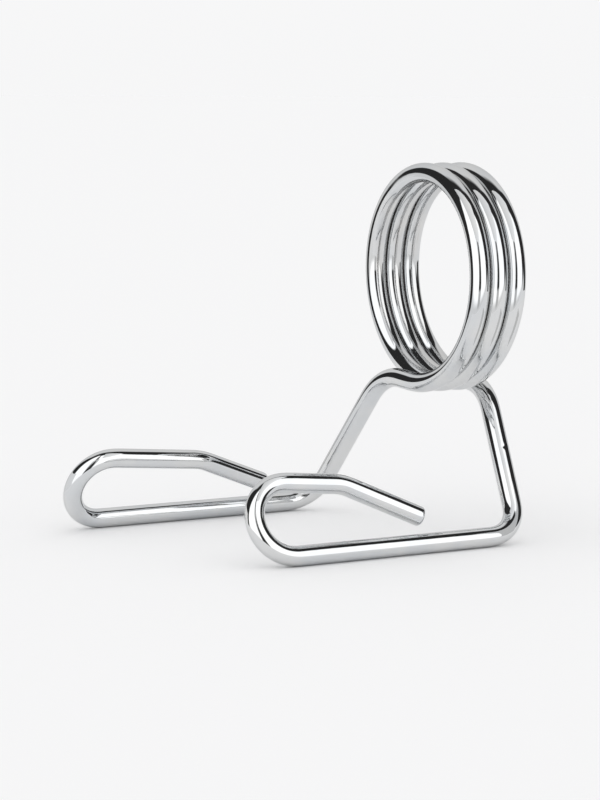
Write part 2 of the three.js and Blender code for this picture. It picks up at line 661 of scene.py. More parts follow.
    def _mark_faces(self, mesh: bpy.types.Mesh, cut: list[bool]) -> None:
        """Makes the wire smooth, its seams' edges sharp, and gives the sheared faces their own finish.

        Args:
            mesh: The piece's mesh.
            cut: For each ring, whether it lies on a sheared face.
        """
        mesh.shade_smooth()
        sides = self.wire.stock.sides
        rings = len(cut)
        on_cut = np.zeros(len(mesh.polygons), dtype=np.int32)
        for ring in range(rings - 1):
            if cut[ring] or cut[ring + 1]:
                on_cut[ring * sides : (ring + 1) * sides] = 1
        ends_from = (rings - 1) * sides
        pairs = np.zeros((len(mesh.edges), 2), dtype=np.int32)
        mesh.edges.foreach_get("vertices", pairs.ravel())
        sharp = np.zeros(len(mesh.edges), dtype=bool)
        for number, (end, ring) in enumerate(((self.first_end, 0), (self.last_end, rings - 1))):
            if end is WireEnd.CUT:
                on_cut[ends_from + number :: 2] = 1
            else:
                low, high = ring * sides, (ring + 1) * sides
                sharp |= ((pairs >= low) & (pairs < high)).all(axis=1)
        mesh.polygons.foreach_set("material_index", on_cut)
        mesh.edges.foreach_set("use_edge_sharp", sharp)

    def _lay_map(self, mesh: bpy.types.Mesh, stations: list[float]) -> None:
        """Lays the wire's surface out flat in side-by-side strips, for textures.

        Args:
            mesh: The piece's mesh.
            stations: The station of each ring.
        """
        sides, margin = self.wire.stock.sides, self.map_margin
        along = np.interp(stations, np.arange(len(self.wire.points)), self.wire.along)
        length = along[-1] - along[0]
        girth = math.tau * self.wire.stock.radius
        strips = max(1, round(math.sqrt(length / girth)))
        share = np.clip((along - along[0]) / length, 0, 1) * strips
        height = self.map_body - 2 * margin
        width = 1 - 2 * margin
        spots = []
        for here, ahead in zip(share, share[1:]):
            strip = min(int((here + ahead) / 2), strips - 1)
            low = margin + (here - strip) * height
            high = margin + (ahead - strip) * height
            for side in range(sides):
                left = (strip + margin + width * side / sides) / strips
                right = (strip + margin + width * (side + 1) / sides) / strips
                spots += [left, low, right, low, right, high, left, high]
        middle = (1 + self.map_body) / 2
        reach = (1 - self.map_body) / 2 - margin
        for side in range(sides):
            angles = (math.tau * side / sides, math.tau * (side + 1) / sides)
            for centre, order in zip(self.map_ends, (angles[::-1], angles)):
                spots += [centre, middle]
                for angle in order:
                    spots += [centre + reach * math.cos(angle), middle + reach * math.sin(angle)]
        layout = mesh.uv_layers.new(name="OFBake")
        layout.data.foreach_set("uv", np.array(spots, np.float32))


# Node trees


Socket = bpy.types.NodeSocket

NUMBER = "NodeSocketFloat"
VECTOR = "NodeSocketVector"
COLOUR = "NodeSocketColor"


class Board:
    """Adds nodes to one tree and joins them."""

    def __init__(self, tree: bpy.types.NodeTree) -> None:
        """Starts on a tree, which it empties."""
        self.tree = tree
        tree.nodes.clear()

    def add(self, kind: str, **settings: object) -> bpy.types.Node:
        """Adds a node.

        Args:
            kind: The node's kind.
            settings: What its options are set to, by name.

        Returns:
            The node.
        """
        node = self.tree.nodes.new(kind)
        for name, value in settings.items():
            setattr(node, name, value)
        return node

    def put(self, socket: Socket, value: object) -> None:
        """Gives a socket its value.

        Args:
            socket: The socket.
            value: A constant, or the socket that makes the value.
        """
        if isinstance(value, bpy.types.NodeSocket):
            self.tree.links.new(value, socket)
        else:
            socket.default_value = value

    def kept(self, name: str, output: str = "Fac") -> Socket:
        """What the mesh keeps for its points under a name."""
        return self.add("ShaderNodeAttribute", attribute_name=name).outputs[output]

    def math(self, operation: str, *values: object) -> Socket:
        """Adds a sum on numbers.

        Args:
            operation: The sum's kind.
            values: The numbers that go into it.

        Returns:
            Its result.
        """
        node = self.add("ShaderNodeMath", operation=operation)
        for socket, value in zip(node.inputs, values):
            self.put(socket, value)
        return node.outputs[0]

    def total(self, start: float, *terms: tuple[Socket, float]) -> Socket:
        """Adds up numbers, each times its own weight.

        Args:
            start: What they are added to.
            terms: Each number with its weight.

        Returns:
            The total.
        """
        result: object = start
        for value, weight in terms:
            result = self.math("MULTIPLY_ADD", value, weight, result)
        return result

    def vector(self, operation: str, *values: object) -> Socket:
        """Adds a sum on vectors.

        Args:
            operation: The sum's kind.
            values: The vectors that go into it.

        Returns:
            Its result, which is a number for a dot product.
        """
        node = self.add("ShaderNodeVectorMath", operation=operation)
        for socket, value in zip(node.inputs, values):
            self.put(socket, value)
        return node.outputs["Value" if operation == "DOT_PRODUCT" else "Vector"]

    def scaled(self, vector: Socket, scale: object) -> Socket:
        """Scales a vector.

        Args:
            vector: The vector.
            scale: The number that it is multiplied by.

        Returns:
            The scaled vector.
        """
        result = self.vector("SCALE", vector)
        self.put(result.node.inputs["Scale"], scale)
        return result

    def combine(self, x: object, y: object, z: object) -> Socket:
        """Makes a vector.

        Args:
            x: Its first number.
            y: Its second number.
            z: Its third number.

        Returns:
            The vector.
        """
        node = self.add("ShaderNodeCombineXYZ")
        for socket, value in zip(node.inputs, (x, y, z)):
            self.put(socket, value)
        return node.outputs[0]

    def rise(self, value: Socket, low: object, high: object) -> Socket:
        """Makes a smooth step.

        Args:
            value: The number that it follows.
            low: Where the step is 0.
            high: Where it is 1.

        Returns:
            The step.
        """
        node = self.add("ShaderNodeMapRange", interpolation_type="SMOOTHSTEP")
        self.put(node.inputs["Value"], value)
        self.put(node.inputs["From Min"], low)
        self.put(node.inputs["From Max"], high)
        return node.outputs["Result"]

    def noise(self, place: Socket, detail: float = 2.0, roughness: float = 0.5) -> Socket:
        """Makes soft noise.

        Args:
            place: Where it is read, already scaled.
            detail: How many finer layers lie over it.
            roughness: How strong the finer layers are.

        Returns:
            The noise, from about 0 to about 1.
        """
        node = self.add("ShaderNodeTexNoise")
        self.put(node.inputs["Vector"], place)
        self.put(node.inputs["Scale"], 1.0)
        self.put(node.inputs["Detail"], detail)
        self.put(node.inputs["Roughness"], roughness)
        return node.outputs[0]

    def mix(self, share: object, first: object, second: object) -> Socket:
        """Mixes two colours.

        Args:
            share: The second colour's share.
            first: The first colour.
            second: The second colour.

        Returns:
            The mixed colour.
        """
        node = self.add("ShaderNodeMix", data_type="RGBA")
        self.put(node.inputs[0], share)
        self.put(node.inputs[6], first)
        self.put(node.inputs[7], second)
        return node.outputs[2]


class EffectGroup:
    """A shader node group with named inputs and outputs."""

    def __init__(self, name: str, inputs: dict[str, str], outputs: dict[str, str]) -> None:
        """Makes the group's sockets.

        Args:
            name: The group's name.
            inputs: The kind of each input socket, by name.
            outputs: The kind of each output socket, by name.
        """
        self.tree = bpy.data.node_groups.new(name, "ShaderNodeTree")
        for socket, kind in inputs.items():
            self.tree.interface.new_socket(socket, in_out="INPUT", socket_type=kind)
        for socket, kind in outputs.items():
            self.tree.interface.new_socket(socket, in_out="OUTPUT", socket_type=kind)
        self.board = Board(self.tree)
        self.given = self.board.add("NodeGroupInput").outputs
        self.made = self.board.add("NodeGroupOutput").inputs

    def place(self, board: Board, **values: object) -> dict[str, Socket]:
        """Places the group in a material.

        Args:
            board: The material's tree.
            values: What each input gets, with underscores for the spaces in its name.

        Returns:
            The group's outputs, by name.
        """
        node = board.add("ShaderNodeGroup", node_tree=self.tree)
        for name, value in values.items():
            board.put(node.inputs[name.replace("_", " ").capitalize()], value)
        return {output.name: output for output in node.outputs}


@dataclass
class SurfaceEffects:
    """The effects that the finishes share, each built once.

    An edge is the span in which a mask rises from 0 to 1. A scale is in waves per metre, one for each axis.
    A fineness multiplies the fineness that the finish gives, and a stretch or a spread divides it.
    """

    line_detail: float = 3.0
    line_contrast: float = 0.6
    line_edge: Span = (0.58, 0.72)
    peel_fineness: float = 3.7
    thread_stretch: float = 22.0
    thread_edge: Span = (0.004, 0.016)
    patch_spread: float = 9.0
    patch_start: float = 0.78
    patch_gain: float = 0.4
    patch_softness: float = 0.1
    bend_edge: Span = (0.10, 0.24)
    wrinkle_scale: tuple[float, float, float] = (320.0, 320.0, 1900.0)
    bend_peel_scale: tuple[float, float, float] = (1500.0, 1500.0, 700.0)
    bend_peel_share: float = 0.4
    tint_edge: Span = (0.35, 0.65)

    def __post_init__(self) -> None:
        """Builds every group."""
        self.lines = self._drawing_lines()
        self.ripple = self._plating_ripple()
        self.scuffs = self._scuffs()
        self.pits = self._pits()
        self.bends = self._bend_marks()
        self.tint = self._tint()

    def _drawing_lines(self) -> EffectGroup:
        """Fine lines along the wire, from the die that it was drawn through.

        Returns:
            The group.
        """
        group = EffectGroup(
            "drawing_lines",
            {"Place": VECTOR, "Fineness": NUMBER, "Stretch": NUMBER},
            {"Height": NUMBER, "Mask": NUMBER},
        )
        board, given = group.board, group.given
        along = board.math("DIVIDE", given["Fineness"], given["Stretch"])
        scale = board.combine(given["Fineness"], given["Fineness"], along)
        drawn = board.vector("MULTIPLY", given["Place"], scale)
        noise = board.noise(drawn, self.line_detail, self.line_contrast)
        board.put(group.made["Height"], noise)
        board.put(group.made["Mask"], board.rise(noise, *self.line_edge))
        return group

    def _plating_ripple(self) -> EffectGroup:
        """The slight waviness of a plated surface.

        Returns:
            The group.
        """
        group = EffectGroup(
            "plating_ripple",
            {"Place": VECTOR, "Fineness": NUMBER, "Fine share": NUMBER},
            {"Height": NUMBER},
        )
        board, given = group.board, group.given
        coarse = board.scaled(given["Place"], given["Fineness"])
        fine = board.scaled(coarse, self.peel_fineness)
        peel = board.math("MULTIPLY", board.noise(fine, 1.0), given["Fine share"])
        board.put(group.made["Height"], board.math("ADD", board.noise(coarse, 1.0), peel))
        return group

    def _scuffs(self) -> EffectGroup:
        """Thin handling scratches in one direction, gathered in patches.

        Returns:
            The group.
        """
        group = EffectGroup(
            "scuffs",
            {"Place": VECTOR, "Fineness": NUMBER, "Turn": NUMBER, "Amount": NUMBER},
            {"Mask": NUMBER, "Height": NUMBER},
        )
        board, given = group.board, group.given
        turned = board.add("ShaderNodeVectorRotate", rotation_type="X_AXIS")
        board.put(turned.inputs["Vector"], given["Place"])
        board.put(turned.inputs["Angle"], given["Turn"])
        fine = given["Fineness"]
        scale = board.combine(fine, fine, board.math("DIVIDE", fine, self.thread_stretch))
        noise = board.noise(board.vector("MULTIPLY", turned.outputs[0], scale), 1.0)
        off_middle = board.math("ABSOLUTE", board.math("SUBTRACT", noise, 0.5))
        thread = board.math("SUBTRACT", 1.0, board.rise(off_middle, *self.thread_edge))
        spread = board.scaled(given["Place"], board.math("DIVIDE", fine, self.patch_spread))
        gain = board.math("MULTIPLY", given["Amount"], self.patch_gain)
        low = board.math("SUBTRACT", self.patch_start, gain)
        high = board.math("ADD", low, self.patch_softness)
        patch = board.rise(board.noise(spread), low, high)
        mask = board.math("MULTIPLY", thread, patch)
        board.put(group.made["Mask"], mask)
        board.put(group.made["Height"], board.math("MULTIPLY", mask, -1.0))
        return group

    @staticmethod
    def _pits() -> EffectGroup:
        """Sparse small pits in the plating.

        Returns:
            The group.
        """
        group = EffectGroup(
            "pits",
            {"Place": VECTOR, "Fineness": NUMBER, "Share": NUMBER, "Size": NUMBER},
            {"Mask": NUMBER, "Height": NUMBER},
        )
        board, given = group.board, group.given
        cells = board.add("ShaderNodeTexVoronoi", feature="F1")
        board.put(cells.inputs["Vector"], given["Place"])
        board.put(cells.inputs["Scale"], given["Fineness"])
        chosen = board.add("ShaderNodeSeparateColor")
        board.put(chosen.inputs[0], cells.outputs["Color"])
        few = board.math("LESS_THAN", chosen.outputs[0], given["Share"])
        size = board.math("MULTIPLY", given["Size"], chosen.outputs[1])
        inside = board.math("SUBTRACT", 1.0, board.rise(cells.outputs["Distance"], 0.0, size))
        mask = board.math("MULTIPLY", few, inside)
        board.put(group.made["Mask"], mask)
        board.put(group.made["Height"], board.math("MULTIPLY", mask, -1.0))
        return group

    def _bend_marks(self) -> EffectGroup:
        """Crosswise wrinkles inside a tight bend and drawn-out peel outside it.

        Returns:
            The group.
        """
        group = EffectGroup(
            "bend_marks",
            {"Place": VECTOR, "Bend": NUMBER},
            {"Inside": NUMBER, "Outside": NUMBER, "Height": NUMBER},
        )
        board, given = group.board, group.given
        inside = board.rise(given["Bend"], *self.bend_edge)
        outside = board.rise(board.math("MULTIPLY", given["Bend"], -1.0), *self.bend_edge)
        wrinkle_place = board.vector("MULTIPLY", given["Place"], self.wrinkle_scale)
        wrinkles = board.math("MULTIPLY", board.noise(wrinkle_place), inside)
        peel_place = board.vector("MULTIPLY", given["Place"], self.bend_peel_scale)
        peel = board.math("MULTIPLY", board.noise(peel_place, 1.0), outside)
        peel = board.math("MULTIPLY", peel, self.bend_peel_share)
        board.put(group.made["Inside"], inside)
        board.put(group.made["Outside"], outside)
        board.put(group.made["Height"], board.math("ADD", wrinkles, peel))
        return group

    def _tint(self) -> EffectGroup:
        """A slow drift between two shades of the plating.

        Returns:
            The group.
        """
        group = EffectGroup(
            "plating_tint",
            {"Place": VECTOR, "Fineness": NUMBER, "First": COLOUR, "Second": COLOUR},
            {"Colour": COLOUR},
        )
        board, given = group.board, group.given
        spread = board.scaled(given["Place"], given["Fineness"])
        share = board.rise(board.noise(spread), *self.tint_edge)
        board.put(group.made["Colour"], board.mix(share, given["First"], given["Second"]))
        return group


def new_material(name: str) -> tuple[bpy.types.Material, Board]:
    """Makes a material.

    Args:
        name: Its name.

    Returns:
        The material and its tree, which is still empty.
    """
    material = bpy.data.materials.new(name)
    material.use_nodes = True
    return material, Board(material.node_tree)


def grey(brightness: float) -> Colour:
    """A colour without a hue."""
    return (brightness, brightness, brightness, 1.0)


# Finishes


def close_metal(
    board: Board, shade: Socket, roughness: Socket, height: Socket, edge_shade: Colour = WHITE
) -> None:
    """Ends a metal's tree with its bump, its shader and its output.

    Args:
        board: The metal's tree.
        shade: Its colour seen straight on.
        roughness: Its roughness.
        height: The height of its surface, in metres.
        edge_shade: The tint of its reflections at a grazing angle.
    """
    bump = board.add("ShaderNodeBump")
    board.put(bump.inputs["Strength"], 1.0)
    board.put(bump.inputs["Distance"], 1.0)
    board.put(bump.inputs["Height"], height)
    shader = board.add("ShaderNodeBsdfPrincipled")
    board.put(shader.inputs["Metallic"], 1.0)
    board.put(shader.inputs["Specular Tint"], edge_shade)
    board.put(shader.inputs["Base Color"], shade)
    board.put(shader.inputs["Roughness"], roughness)
    board.put(shader.inputs["Normal"], bump.outputs["Normal"])
    output = board.add("ShaderNodeOutputMaterial")
    board.put(output.inputs["Surface"], shader.outputs["BSDF"])


@dataclass(frozen=True)
class BrightChrome:
    """Bright chrome plate over smooth drawn wire.

    Depths are in metres and a fineness is in waves per metre. Each roughness adds to that of the polish.
    """

    name: str
    first_shade: Colour = (0.73, 0.735, 0.735, 1.0)
    second_shade: Colour = (0.685, 0.70, 0.715, 1.0)
    tint_fineness: float = 120.0
    edge_shade: Colour = (0.80, 0.80, 0.80, 1.0)
    rubbed_shade: Colour = (0.46, 0.42, 0.38, 1.0)
    # Painted shade: the colour that darkens the grooves between the coil's turns.
    painted_groove_shade: Colour = (0.22, 0.215, 0.21, 1.0)
    pit_shade: Colour = (0.10, 0.095, 0.09, 1.0)
    polish: float = 0.035
    line_roughness: float = 0.012
    scuff_roughness: float = 0.16
    bend_roughness: float = 0.03
    rubbed_roughness: float = 0.22
    pit_roughness: float = 0.4
    line_fineness: float = 5200.0
    line_stretch: float = 70.0
    line_depth: float = 0.35e-6
    ripple_fineness: float = 240.0
    ripple_share: float = 0.12
    ripple_depth: float = 14.0e-6
    grain_fineness: float = 3400.0
    grain_share: float = 0.4
    grain_depth: float = 1.0e-6
    streak_fineness: float = 620.0
    streak_stretch: float = 8.0
    streak_depth: float = 6.0e-6
    leading_fineness: float = 900.0
    leading_turn: float = 0.5
    crossing_fineness: float = 1300.0
    crossing_turn: float = -0.9
    scuff_amount: float = 0.35
    scuff_depth: float = 1.2e-6
    pit_fineness: float = 800.0
    pit_share: float = 0.035
    pit_size: float = 0.16
    pit_depth: float = 20.0e-6
    wrinkle_depth: float = 9.0e-6
    sleeve_contact: Span = (0.80, 1.0)
    sleeve_rub: float = 0.6
    turn_contact: Span = (0.90, 1.0)
    turn_rub: float = 0.5
    rub_between_lines: float = 0.25
    # How far painted shade darkens the grooves between the turns, most of all inside the coil.
    painted_shade_groove_edge: Span = (0.86, 0.985)
    groove_painted_shade_amount: float = 0.85
    painted_shade_inner_edge: Span = (0.0, 0.25)
    inner_painted_shade_amount: float = 0.7
    outer_painted_shade_amount: float = 0.15

    def build(self, effects: SurfaceEffects) -> bpy.types.Material:
        """Makes the material.

        Args:
            effects: The shared effects.

        Returns:
            The material.
        """
        material, board = new_material(self.name)
        place = board.kept("wire_place", "Vector")
        lines = effects.lines.place(
            board, place=place, fineness=self.line_fineness, stretch=self.line_stretch
        )
        ripple = effects.ripple.place(
            board, place=place, fineness=self.ripple_fineness, fine_share=self.ripple_share
        )
        grain = effects.ripple.place(
            board, place=place, fineness=self.grain_fineness, fine_share=self.grain_share
        )
        streaks = effects.lines.place(
            board, place=place, fineness=self.streak_fineness, stretch=self.streak_stretch
        )
        leading = effects.scuffs.place(
            board,
            place=place,
            fineness=self.leading_fineness,
            turn=self.leading_turn,
            amount=self.scuff_amount,
        )
        crossing = effects.scuffs.place(
            board,
            place=place,
            fineness=self.crossing_fineness,
            turn=self.crossing_turn,
            amount=self.scuff_amount,
        )
        pits = effects.pits.place(
            board, place=place, fineness=self.pit_fineness, share=self.pit_share, size=self.pit_size
        )
        bends = effects.bends.place(board, place=place, bend=board.kept("bend"))
        tint = effects.tint.place(
            board,
            place=place,
            fineness=self.tint_fineness,
            first=self.first_shade,
            second=self.second_shade,
        )
        rubbed = self._rubbed(board, lines["Mask"])
        shade = board.mix(rubbed, tint["Colour"], self.rubbed_shade)
        # Painted shade in the grooves between the turns.
        shade = board.mix(self._painted_groove_mask(board), shade, self.painted_groove_shade)
        shade = board.mix(pits["Mask"], shade, self.pit_shade)
        roughness = board.total(
            self.polish,
            (lines["Mask"], self.line_roughness),
            (board.math("MAXIMUM", leading["Mask"], crossing["Mask"]), self.scuff_roughness),
            (bends["Inside"], self.bend_roughness),
            (rubbed, self.rubbed_roughness),
            (pits["Mask"], self.pit_roughness),
        )
        height = board.total(
            0.0,
            (lines["Height"], self.line_depth),
            (ripple["Height"], self.ripple_depth),
            (grain["Height"], self.grain_depth),
            (streaks["Height"], self.streak_depth),
            (leading["Height"], self.scuff_depth),
            (crossing["Height"], self.scuff_depth),
            (pits["Height"], self.pit_depth),
            (bends["Height"], self.wrinkle_depth),
        )
        close_metal(board, shade, roughness, height, self.edge_shade)
        return material

    def _rubbed(self, board: Board, line_mask: Socket) -> Socket:
        """Finds where the sleeve and the next turn rub the plating, most of all on the drawing lines.

        Args:
            board: The material's tree.
            line_mask: Where the drawing lines lie.

        Returns:
            The mask.
        """
        sleeve = board.rise(board.kept("faces_sleeve"), *self.sleeve_contact)
        turn = board.rise(board.kept("faces_next_turn"), *self.turn_contact)
        rub_sleeve = board.math("MULTIPLY", sleeve, self.sleeve_rub)
        rub_turn = board.math("MULTIPLY", turn, self.turn_rub)
        uneven = board.math("ADD", line_mask, self.rub_between_lines)
        return board.math("MULTIPLY", board.math("MAXIMUM", rub_sleeve, rub_turn), uneven)

    def _painted_groove_mask(self, board: Board) -> Socket:
        """Finds where painted shade darkens the grooves between the turns, most of all inside the coil.

        Args:
            board: The material's tree.

        Returns:
            The mask.
        """
        inner = board.rise(board.kept("faces_sleeve"), *self.painted_shade_inner_edge)
        inner = board.math("MULTIPLY_ADD", inner, self.inner_painted_shade_amount, self.outer_painted_shade_amount)
        turn = board.rise(board.kept("faces_next_turn"), *self.painted_shade_groove_edge)
        return board.math("MULTIPLY", board.math("MULTIPLY", turn, self.groove_painted_shade_amount), inner)


@dataclass(frozen=True)
class ShearedSteel:
    """The sheared end of the wire, thinly plated over its shear lines.

    Depths are in metres and a fineness is in waves per metre.
    """

    name: str
    bright: Colour = (0.52, 0.53, 0.54, 1.0)
    dull: Colour = (0.24, 0.235, 0.23, 1.0)
    pit_shade: Colour = (0.09, 0.08, 0.075, 1.0)
    shear: tuple[float, float, float] = (1.0, 0.06, 1.0)
    line_fineness: float = 5200.0
    line_depth: float = 14.0e-6
    grain_fineness: float = 1800.0
    grain_share: float = 0.5
    grain_depth: float = 6.0e-6
    pit_fineness: float = 1900.0
    pit_share: float = 0.18
    pit_size: float = 0.3
    pit_depth: float = 14.0e-6
    dull_edge: Span = (0.5, 0.8)
    plain_roughness: float = 0.26
    line_roughness: float = 0.14
    dull_roughness: float = 0.12

    def build(self, effects: SurfaceEffects) -> bpy.types.Material:
        """Makes the material.

        Args:
            effects: The shared effects.

        Returns:
            The material.
        """
        material, board = new_material(self.name)
        place = board.kept("wire_place", "Vector")
        sheared = board.vector("MULTIPLY", place, self.shear)
        lines = effects.lines.place(board, place=sheared, fineness=self.line_fineness, stretch=1.0)
        grain = effects.ripple.place(
            board, place=place, fineness=self.grain_fineness, fine_share=self.grain_share
        )
        pits = effects.pits.place(
            board, place=place, fineness=self.pit_fineness, share=self.pit_share, size=self.pit_size
        )
        patch = board.rise(grain["Height"], *self.dull_edge)
        shade = board.mix(patch, self.bright, self.dull)
        shade = board.mix(pits["Mask"], shade, self.pit_shade)
        roughness = board.total(
            self.plain_roughness,
            (lines["Mask"], self.line_roughness),
            (patch, self.dull_roughness),
        )
        height = board.total(
            0.0,
            (lines["Height"], self.line_depth),
            (grain["Height"], self.grain_depth),
            (pits["Height"], self.pit_depth),
        )
        close_metal(board, shade, roughness, height)
        return material


# Stage


@dataclass(frozen=True)
class PhotoCamera:
    """The camera, at the photograph's viewing angle."""

    target: Vector = Vector((-42.52 * MM, 0.0, -29.65 * MM))
    azimuth: float = math.radians(-29.95)
    elevation: float = math.radians(6.87)
    roll: float = math.radians(0.2)
    distance: float = 654.5 * MM
    lens: float = 117.0
    sensor: float = 36.0
    clip_start: float = 10.0 * MM

    def back(self) -> Vector:
        """Works out the direction from the object to the camera.

        Returns:
            The direction.
        """
        level = math.cos(self.elevation)
        return Vector(
            (
                math.sin(self.azimuth) * level,
                -math.cos(self.azimuth) * level,
                math.sin(self.elevation),
            )
        )

    def build(self) -> bpy.types.Object:
        """Makes the camera and makes it the scene's.

        Returns:
            The camera.
        """
        lens = bpy.data.cameras.new("photo_camera")
        lens.lens = self.lens
        lens.sensor_width = self.sensor
        lens.clip_start = self.clip_start
        camera = bpy.data.objects.new("photo_camera", lens)
        bpy.context.scene.collection.objects.link(camera)
        back = self.back()
        camera.location = self.target + back * self.distance
        camera.rotation_mode = "QUATERNION"
        level = (-back).to_track_quat("-Z", "Y")
        camera.rotation_quaternion = level @ Quaternion((0.0, 0.0, 1.0), self.roll)
        bpy.context.scene.camera = camera
        return camera


@dataclass(frozen=True)
class Edge:
    """A straight edge of a panel of the light tent, far off.

    A direction lies inside where rightwards, towards the camera and upwards, each times its own number, add
    up to more than nothing.
    """

    rightwards: float
    towards: float
    upwards: float
    softness: float = 0.02


@dataclass(frozen=True)
class Panel:
    """A panel of the light tent between straight edges."""

    name: str
    brightness: float
    edges: tuple[Edge, ...]


FRONT_LEFT = Edge(0.14, 1.0, -0.16, 0.03)
FOOT_LEFT = Edge(0.135, 1.0, -0.33)
FRONT_RIGHT = Edge(0.17, 1.0, -0.31, 0.03)
LEFT_OF_CAMERA = Edge(-1.0, -0.052, 0.0, 0.01)
RIGHT_OF_CAMERA = Edge(1.0, -0.176, 0.0, 0.01)
REAR_RIGHT = Edge(-1.0, -1.15, 0.02, 0.03)
LOW = Edge(0.0, 0.36, 1.0, 0.10)


@dataclass(frozen=True)
class Screen:
    """A low white screen that stands on the table. Its ends are each rightwards and towards the camera."""

    name: str
    rear: tuple[float, float]
    front: tuple[float, float]
    height: float
    brightness: float


@dataclass(frozen=True)
class LightTent:
    """A tent of white panels with a dark gap from its left, over its top, to its right.

    Inside it are the floor, a white card over the collar, and two low screens on the table. Their places are
    rightwards and towards the camera.
    """

    azimuth: float = math.radians(-30.0)
    floor_height: float = -65.3 * MM
    floor_reach: float = 30.0
    table_front: float = 150.0 * MM
    table_left: float = -150.0 * MM
    table_right: float = 420.0 * MM
    floor_shade: Colour = (0.925, 0.925, 0.93, 1.0)
    room_top: Colour = (0.955, 0.955, 0.958, 1.0)
    room_edge: Span = (0.0, 0.12)
    gap: float = 0.028
    panels: tuple[Panel, ...] = (
        Panel("front_foot", 0.865, (FOOT_LEFT, Edge(0.0, -0.36, -1.0, 0.10))),
        Panel(
            "backdrop",
            0.81,
            (Edge(1.0, -0.894, 0.25, 0.04), REAR_RIGHT, Edge(0.0, -1.0, -0.27, 0.13)),
        ),
        Panel(
            "backdrop_foot",
            0.81,
            (Edge(1.0, -1.42, -1.35, 0.03), REAR_RIGHT, Edge(0.0, -0.60, -1.0, 0.03)),
        ),
        Panel("left_softbox", 1.44, (FRONT_LEFT, Edge(0.0, 1.0, -0.06), LEFT_OF_CAMERA, LOW)),
        Panel("right_softbox", 1.44, (FRONT_RIGHT, Edge(-0.30, 1.0, 0.10), RIGHT_OF_CAMERA, LOW)),
        Panel(
            "camera_slit",
            0.60,
            (
                Edge(1.0, 0.16, 0.0),
                Edge(-1.0, 0.28, 0.0),
                Edge(0.0, 1.1, -1.0, 0.10),
                Edge(0.0, 0.40, 1.0, 0.06),
            ),
        ),
        Panel(
            "camera",
            0.045,
            (
                Edge(1.0, 0.14, -0.24),
                Edge(-1.0, 0.26, -0.16),
                Edge(0.0, 0.84, -1.0, 0.04),
                Edge(0.0, 0.12, 1.0, 0.03),
                Edge(0.0, 1.0, 0.0),
            ),
        ),
    )
    card_height: float = 107.0 * MM
    card_corners: tuple[tuple[float, float], ...] = (
        (-26.0 * MM, 160.0 * MM),
        (62.0 * MM, 160.0 * MM),
        (74.0 * MM, 85.0 * MM),
        (50.0 * MM, 22.0 * MM),
        (-64.0 * MM, 22.0 * MM),
    )
    card_left_shade: float = 0.74
    card_right_shade: float = 1.10
    screens: tuple[Screen, ...] = (
        Screen("left_screen", (-150.0 * MM, -100.0 * MM), (-150.0 * MM, 50.0 * MM), 39.0 * MM, 0.90),
        Screen("right_screen", (45.0 * MM, 23.0 * MM), (45.0 * MM, 42.0 * MM), 44.0 * MM, 0.62),
    )

    def build(self, rail: Vector) -> None:
        """Makes the room, the floor, and the card and the screens that the chrome mirrors.

        Args:
            rail: The middle of the wire where the far handle lies on the floor.
        """
        self._room()
        self._floor(rail)
        self._card()
        for screen in self.screens:
            self._stand(screen)

    @staticmethod
    def _edge_group() -> EffectGroup:
        """On which side of a panel's edge a direction lies.

        Returns:
            The group, whose mask is 1 inside the edge and 0 outside it.
        """
        group = EffectGroup(
            "tent_edge", {"Direction": VECTOR, "Edge": VECTOR, "Softness": NUMBER}, {"Mask": NUMBER}
        )
        board, given = group.board, group.given
        inside = board.vector("DOT_PRODUCT", given["Direction"], given["Edge"])
        outside = board.math("MULTIPLY", given["Softness"], -1.0)
        board.put(group.made["Mask"], board.rise(inside, outside, given["Softness"]))
        return group

    def _in_the_room(self, rightwards: float, towards: float, upwards: float) -> Vector:
        """Turns a place or direction as the camera sees it into the part's own frame.

        Args:
            rightwards: How far to the camera's right.
            towards: How far towards the camera, on the level.
            upwards: How far up.

        Returns:
            The place or direction.
        """
        right = Vector((math.cos(self.azimuth), math.sin(self.azimuth), 0.0))
        near = Vector((math.sin(self.azimuth), -math.cos(self.azimuth), 0.0))
        return right * rightwards + near * towards + UP * upwards

    def _room(self) -> None:
        """Makes the room: pale to the camera and the floor, and the tent's panels to the chrome."""
        world = bpy.data.worlds.new("room")
        world.use_nodes = True
        bpy.context.scene.world = world
        board = Board(world.node_tree)
        direction = board.add("ShaderNodeTexCoord").outputs["Generated"]
        group = self._edge_group()
        tent: object = grey(self.gap)
        for panel in self.panels:
            mask: object = 1.0
            for edge in panel.edges:
                across = self._in_the_room(edge.rightwards, edge.towards, edge.upwards)
                seen = group.place(
                    board,
                    direction=direction,
                    edge=tuple(across.normalized()),
                    softness=edge.softness,
                )
                mask = board.math("MULTIPLY", mask, seen["Mask"])
            lit = board.mix(mask, tent, grey(panel.brightness))
            lit.node.label = panel.name
            tent = lit
        height = board.vector("DOT_PRODUCT", direction, tuple(UP))
        backdrop = board.mix(board.rise(height, *self.room_edge), self.floor_shade, self.room_top)
        path = board.add("ShaderNodeLightPath")
        shade = board.mix(path.outputs["Is Camera Ray"], WHITE, backdrop)
        shade = board.mix(path.outputs["Is Glossy Ray"], shade, tent)
        light = board.add("ShaderNodeBackground")
        board.put(light.inputs["Color"], shade)
        output = board.add("ShaderNodeOutputWorld")
        board.put(output.inputs["Surface"], light.outputs["Background"])

